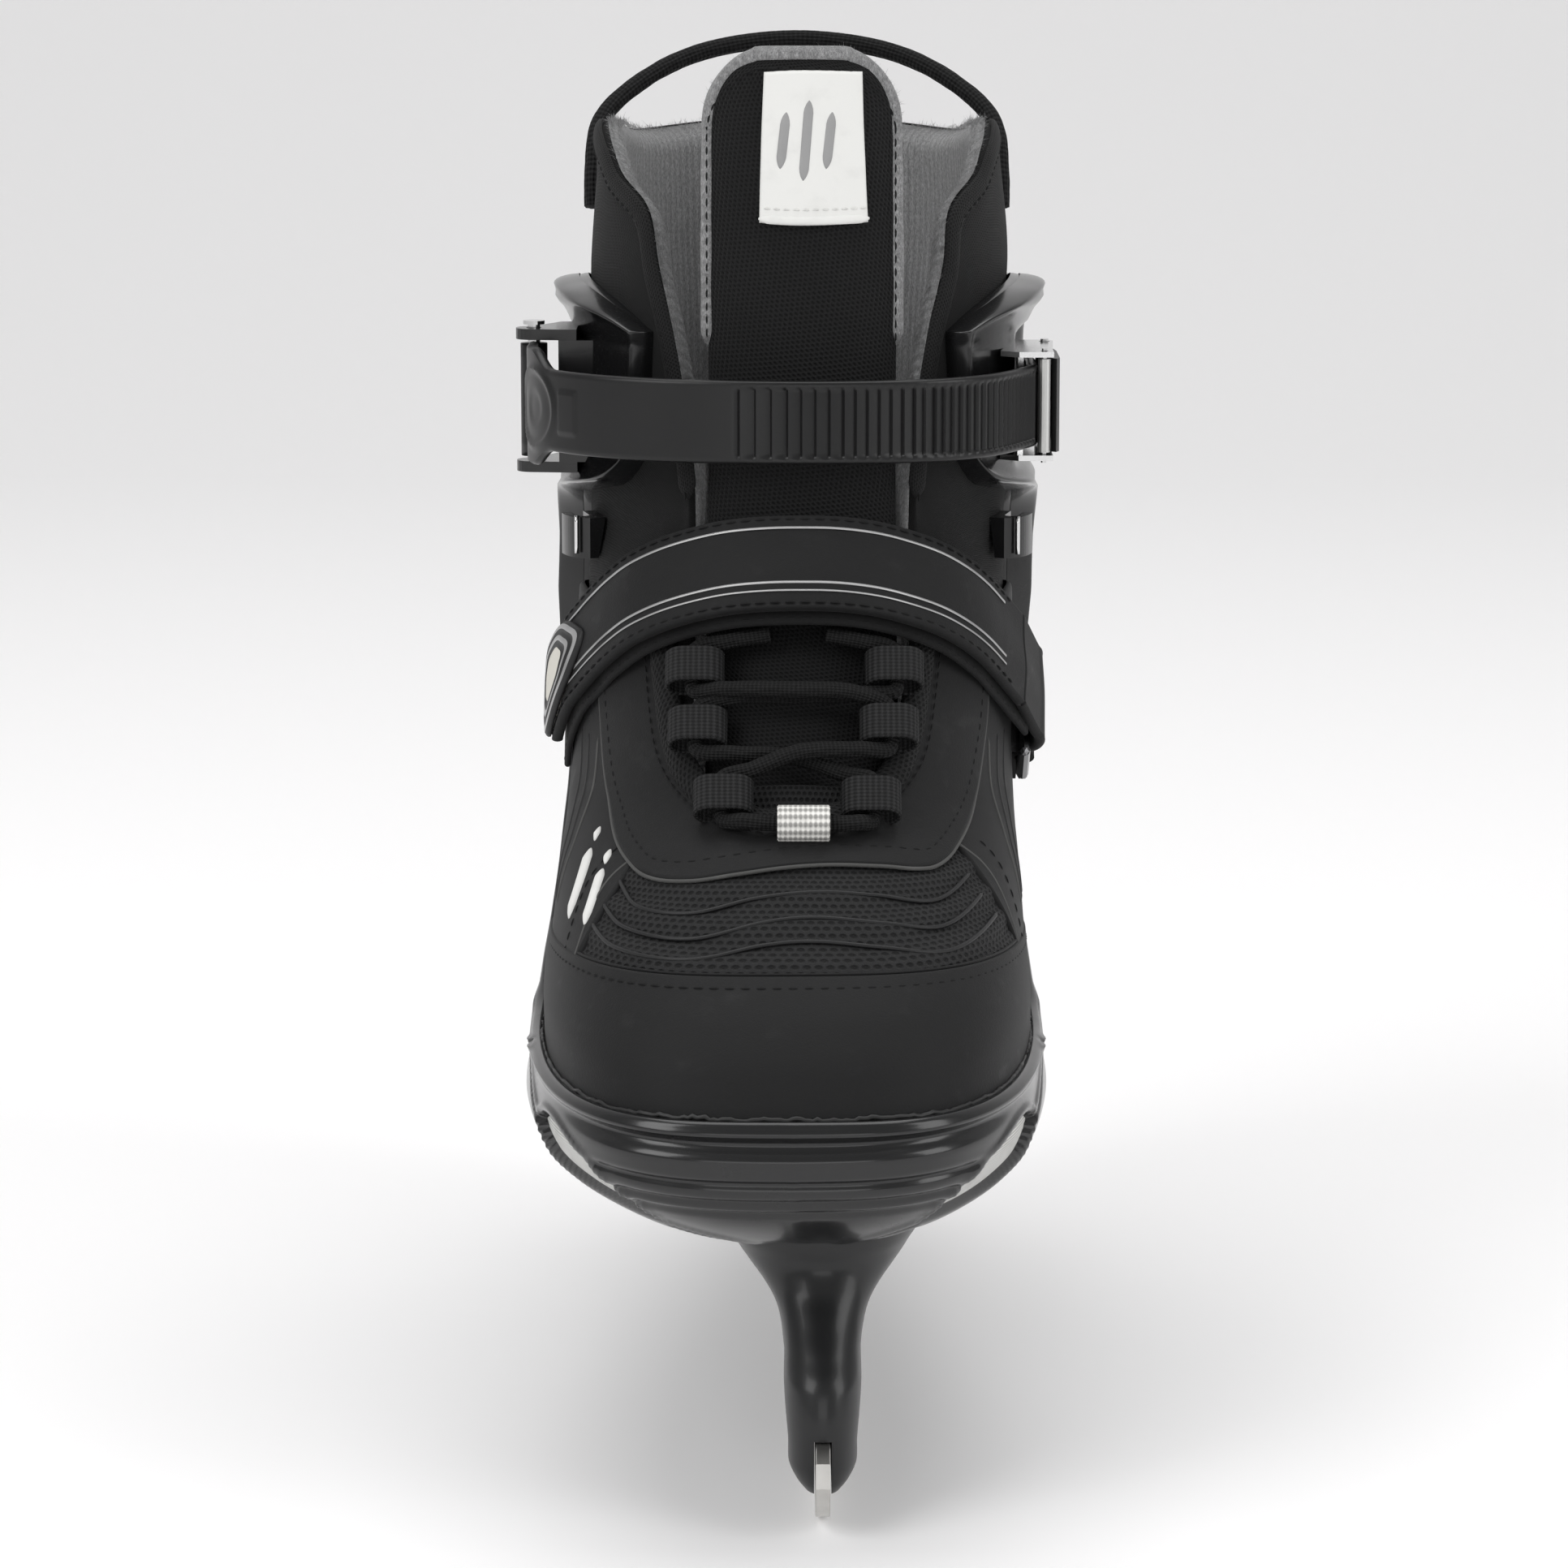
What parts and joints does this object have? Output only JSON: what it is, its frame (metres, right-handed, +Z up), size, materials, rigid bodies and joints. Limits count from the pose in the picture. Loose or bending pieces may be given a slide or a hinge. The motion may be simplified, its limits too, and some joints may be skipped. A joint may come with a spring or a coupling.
{
  "type": "ice skate",
  "caption": "Right-foot hybrid ice skate: soft laced boot in a moulded shell, hinged ankle cuff with ratchet strap, instep strap, and a steel blade in a plastic holder.",
  "frame": {"origin": "middle of the blade's flat running face", "axes": "+X to the inner side of the right foot, -Y to the toe, +Z up from the ice"},
  "size_m": [0.1202, 0.296, 0.299],
  "materials": {
    "steel": "ground and polished",
    "chrome_steel": "chrome plated",
    "gloss_black_plastic": "moulded, semi-gloss",
    "satin_black_plastic": "moulded, satin",
    "black_synthetic": "matte coated synthetic leather",
    "black_mesh": "knitted air mesh",
    "grey_fleece": "brushed fleece",
    "black_webbing": "woven and braided polyester",
    "white_webbing": "woven polyester",
    "white_rubber": "soft matte"
  },
  "bodies": {
    "boot": {"blade": "steel", "blade_holder": "gloss_black_plastic", "blade_pin_front": "steel", "blade_pin_rear": "steel", "sole_bolt_front": "steel", "sole_bolt_rear": "steel", "base_shell": "gloss_black_plastic", "vent_mesh_outer": "white_webbing", "vent_mesh_inner": "white_webbing", "hinge_pin_outer": "satin_black_plastic", "hinge_pin_inner": "satin_black_plastic", "toe_rand": "black_synthetic", "vamp": "black_mesh", "eyestay": "black_synthetic", "quarter_outer": "black_synthetic", "quarter_inner": "black_synthetic", "heel_counter": "black_synthetic", "foot_lining": "grey_fleece", "insole": "grey_fleece", "tongue_lower": "black_mesh", "instep_under_strap": "black_synthetic", "ring_tab": "black_webbing", "strap_ring": "steel", "lace": "black_webbing", "lace_loop_outer_top": "black_webbing", "lace_loop_outer_middle": "black_webbing", "lace_loop_outer_low": "black_webbing", "lace_loop_inner_top": "black_webbing", "lace_loop_inner_middle": "black_webbing", "lace_loop_inner_low": "black_webbing", "lace_loop_foot": "white_webbing"},
    "cuff": {"ankle_cuff": "gloss_black_plastic", "shaft_outer": "black_synthetic", "shaft_lining": "grey_fleece", "tongue_upper": "black_mesh", "tongue_label": "white_rubber", "strap_bracket": "gloss_black_plastic", "strap_hinge_pin": "steel", "buckle_base": "chrome_steel", "buckle_lever_pin": "steel", "buckle_pawl_pin": "steel", "lace_hook_outer": "gloss_black_plastic", "lace_hook_inner": "gloss_black_plastic"},
    "ratchet_strap": {"ankle_strap": "satin_black_plastic"},
    "lever": {"buckle_lever": "gloss_black_plastic"},
    "pawl": {"buckle_pawl": "steel"},
    "flap": {"instep_strap": "black_synthetic", "pull_tab": "satin_black_plastic"},
    "pull": {"pull_loop": "black_webbing"}
  },
  "joints": [
    {"name": "cuff_flex", "type": "hinge", "parent": "boot", "child": "cuff", "pos_m": [-0.0058, 0.065, 0.154], "axis": [1, 0, 0], "range_deg": [-3, 3]},
    {"name": "strap_swing", "type": "hinge", "parent": "cuff", "child": "ratchet_strap", "pos_m": [-0.0635, 0, 0.221], "axis": [0, 0, -1], "range_deg": [0, 100]},
    {"name": "lever_lift", "type": "hinge", "parent": "cuff", "child": "lever", "pos_m": [0.0502, 0.008, 0.221], "axis": [0, 0, 1], "range_deg": [0, 70], "stiffness_Nm_per_rad": 0.004, "springref_deg": -11.46},
    {"name": "pawl_lift", "type": "hinge", "parent": "cuff", "child": "pawl", "pos_m": [0.0492, -0.013, 0.221], "axis": [0, 0, -1], "range_deg": [0, 5], "stiffness_Nm_per_rad": 0.01, "springref_deg": -5.73},
    {"name": "flap_open", "type": "hinge", "parent": "boot", "child": "flap", "pos_m": [0.0454, -0.00675, 0.15442], "axis": [0, 0.6198, 0.7848], "range_deg": [0, 100]},
    {"name": "loop_tilt", "type": "hinge", "parent": "cuff", "child": "pull", "pos_m": [-0.005, 0.065, 0.267], "axis": [1, 0, 0], "range_deg": [-5, 20]}
  ]
}
